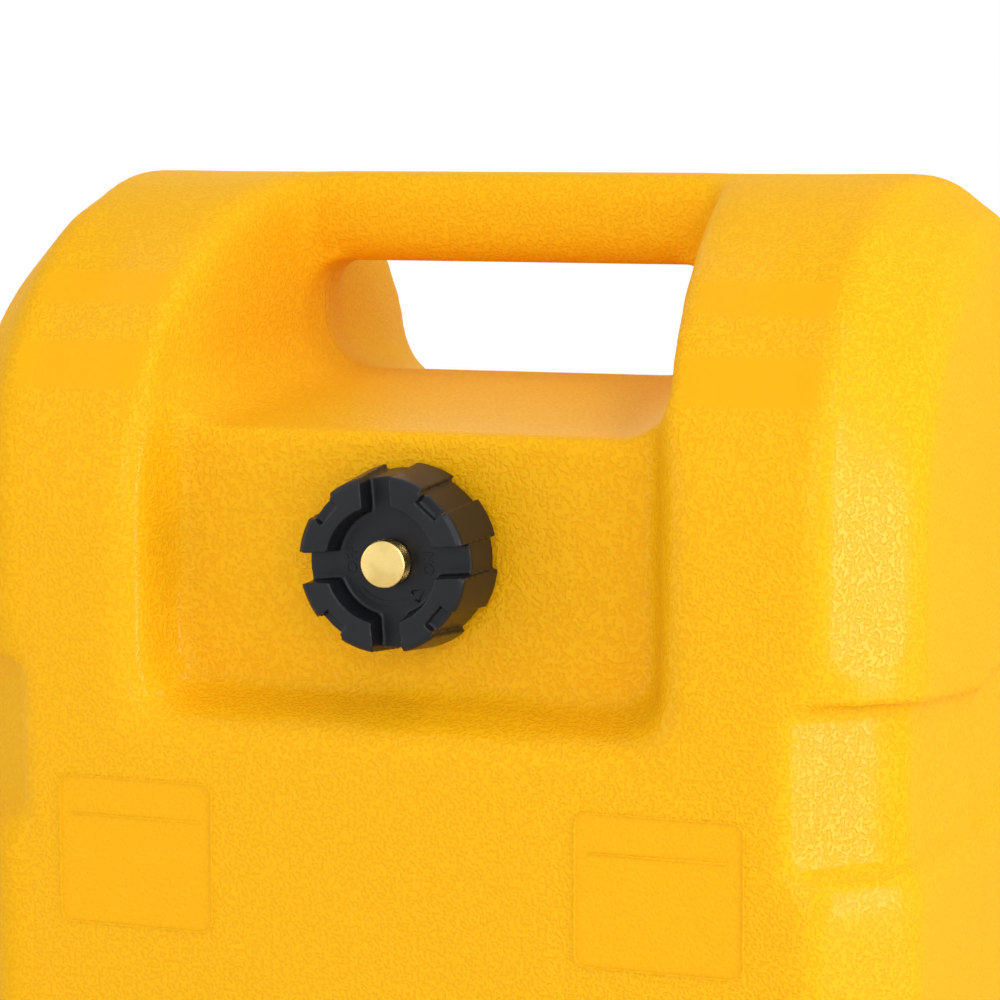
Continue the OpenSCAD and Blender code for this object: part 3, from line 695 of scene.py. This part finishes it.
bpy.ops.object.select_all(action="DESELECT")
bpy.ops.mesh.primitive_plane_add(size=ARROW_WIDE, location=(ARROW_R, 0, 0))
arrow = bpy.context.object
bpy.ops.object.transform_apply(location=True)
pick(arrow, "EDGE", lambda e: all(arrow.data.vertices[i].co.y > 0.0005 for i in e.vertices))
bpy.ops.mesh.spin(steps=18, angle=-math.radians(ARROW_SWEEP), center=(0, 0, 0), axis=(0, 0, 1))
bpy.ops.mesh.extrude_region_move()
bpy.ops.transform.resize(value=(2.0, 2.0, 1))
bpy.ops.mesh.extrude_region_move(TRANSFORM_OT_translate={"value": ARROW_TIP})
bpy.ops.mesh.merge(type="CENTER")
bpy.ops.mesh.select_all(action="SELECT")
bpy.ops.mesh.normals_make_consistent(inside=False)
bpy.ops.mesh.select_mode(type="FACE")
bpy.ops.mesh.select_all(action="SELECT")
bpy.ops.mesh.inset(thickness=ARROW_LINE, use_boundary=True)
bpy.ops.mesh.delete(type="FACE")
close()
apply(arrow, "thick", "SOLIDIFY", thickness=ARROW_THICK, offset=0.0)
set_upright(arrow, 0, DISH_Y, CAP_Z, ARROW_TURN)
finish_piece(joined(arrow, words, "cap_marks"), "filler_cap")
print("cap marks", len(arrow.data.polygons), "faces")

# %% [markdown]
# ## Framed panels on the front
# Two bare panels stand on the front, each a thin raised frame with a rule across it. A frame is a
# plane with rounded corners whose inset is kept and whose middle is deleted, and the rule is a
# plane too. Both get a thickness that lies half inside the tank, and soft edges.

# %% Raised frames
LINE, PROUD, LINE_EDGE = 0.0010, 0.0005, 0.00018
RULE_LONG, RULE_UP = 0.0535, 0.0138


def flat_plate(width, height, rise):
    bpy.ops.object.select_all(action="DESELECT")
    bpy.ops.mesh.primitive_plane_add(size=1, location=(0, rise, 0))
    obj = bpy.context.object
    obj.scale = (width, height, 1)
    bpy.ops.object.transform_apply(location=True, rotation=True, scale=True)
    return obj


raised = []
for side in (-1, 1):
    panel = flat_plate(2 * PANEL_HALF[0], 2 * PANEL_HALF[1], 0)
    edit(panel)
    bpy.ops.mesh.bevel(offset=PANEL_CORNER, segments=6, affect="VERTICES")
    bpy.ops.mesh.select_mode(type="FACE")
    bpy.ops.mesh.select_all(action="SELECT")
    bpy.ops.mesh.inset(thickness=LINE)
    bpy.ops.mesh.delete(type="FACE")
    close()
    rule = flat_plate(RULE_LONG, LINE, RULE_UP)
    for obj in (panel, rule):
        apply(obj, "thick", "SOLIDIFY", thickness=2 * PROUD, offset=0.0)
        apply(obj, "edge", "BEVEL", width=LINE_EDGE, segments=2, limit_method="ANGLE",
              angle_limit=math.radians(40))
        set_upright(obj, side * PANEL_X, FRONT_Y, PANEL_Z)
        raised.append(obj)
panels = joined(raised[0], raised[1:], "panel_frames")
smooth(panels, 50)
finish_piece(panels, "tank_shell")
print("panel frames", len(panels.data.polygons), "faces")

# %% [markdown]
# ## Vent knob
# The brass knob is turned from bar and diamond-knurled: two crossing sets of grooves leave a
# grid of small pyramids. A ring of quads is poked, its first edges are dissolved, and the diamonds
# that remain are poked again with a rise, which gives the same grid without cutting it. The
# solid's own wall shrinks a little to make room under it.

# %% Knurled brass knob
KNURL_R, KNURL_LONG, KNURL_Y, POINTS_HIGH = 0.00853, 0.0062, -0.14865, 0.00042
ROWS, ROUND = 5, 52
WALL_MIN_R, WALL_LOW_Y, WALL_HIGH_Y, WALL_SHRINK = 0.0080, -0.1552, -0.1475, 0.945
FIRST_EDGE_MIN, RIM_MARGIN = 0.00095, 1e-5


def in_wall(v):
    outer = math.hypot(v.co.x, v.co.z - CAP_Z) > WALL_MIN_R
    return outer and WALL_LOW_Y < v.co.y < WALL_HIGH_Y


def inner_first_edge(e):
    a, b = (knurl.data.vertices[i].co for i in e.vertices)
    middle = (a.z + b.z) / 2
    return (a - b).length > FIRST_EDGE_MIN and RIM_MARGIN < middle < KNURL_LONG - RIM_MARGIN


knob = softened("vent_screw", 0.00025, "knob_core")
pick(knob, "VERT", in_wall)
bpy.ops.transform.resize(value=(WALL_SHRINK, 1, WALL_SHRINK), center_override=(0, -0.15, CAP_Z))
close()
smooth(knob, SMOOTH_DEG)

bpy.ops.object.select_all(action="DESELECT")
bpy.ops.mesh.primitive_circle_add(vertices=ROUND, radius=KNURL_R, location=(0, 0, 0))
knurl = bpy.context.object
edit(knurl, "EDGE")
for _ in range(ROWS):
    bpy.ops.mesh.extrude_region_move(
        TRANSFORM_OT_translate={"value": (0, 0, KNURL_LONG / ROWS)})
bpy.ops.mesh.select_all(action="SELECT")
bpy.ops.mesh.normals_make_consistent(inside=False)
bpy.ops.mesh.poke(offset=0.0)
close()
pick(knurl, "EDGE", inner_first_edge)
bpy.ops.mesh.dissolve_edges(use_verts=False)
bpy.ops.mesh.select_mode(type="FACE")
bpy.ops.mesh.select_face_by_sides(number=4, type="EQUAL")
bpy.ops.mesh.poke(offset=POINTS_HIGH)
close()
set_upright(knurl, 0, KNURL_Y, CAP_Z)
knurl.name = "knob_knurl"
finish_piece(knurl, "vent_screw")
print("knurl", len(knurl.data.polygons), "faces")

# %% [markdown]
# ## The other pieces
# The valve body, lever, axle saddles and hubs are mouldings too and get the same treatment with
# the grid that suits their size. Turned and stamped pieces keep their crisp form with a narrow
# broken edge. Rings and balls are already smooth, so the solids stay and only take the finish.

# %% Mouldings
moulded("valve_body", 0.0007, 4, "valve_body_skin")
moulded("valve_lever", 0.0006, 5, "lever_skin")
moulded("axle_saddles", 0.0008, 4, "saddle_skin")
for side in ("left", "right"):
    moulded("wheel_hub_" + side, 0.0015, 3, "hub_skin_" + side)

# %% Turned and stamped pieces
for node, edge in (("filler_neck", 0.0004), ("cap_gasket", 0.0002), ("vent_insert", 0.0002),
                   ("outlet_insert", 0.0005), ("valve_stem", 0.0002), ("lever_screw", 0.0003),
                   ("hose_tail", 0.0004), ("axle", 0.0005), ("saddle_screws", 0.0003),
                   ("axle_spacers", 0.0005), ("axle_washers", 0.0002), ("axle_caps", 0.0006),
                   ("wheel_bushes_left", 0.0003), ("wheel_bushes_right", 0.0003),
                   ("tyre_left", 0.0012), ("tyre_right", 0.0012)):
    softened(node, edge)
print("softened pieces done")

# %% Solids that stay
for node in ("vent_o_ring", "outlet_o_ring", "stem_o_ring", "tail_o_ring", "valve_ball",
             "ball_seats"):
    data = frame["nodes"][node].data
    data.materials.clear()
    data.materials.append(finishes[slot_of(node)])
print("kept solids dressed")
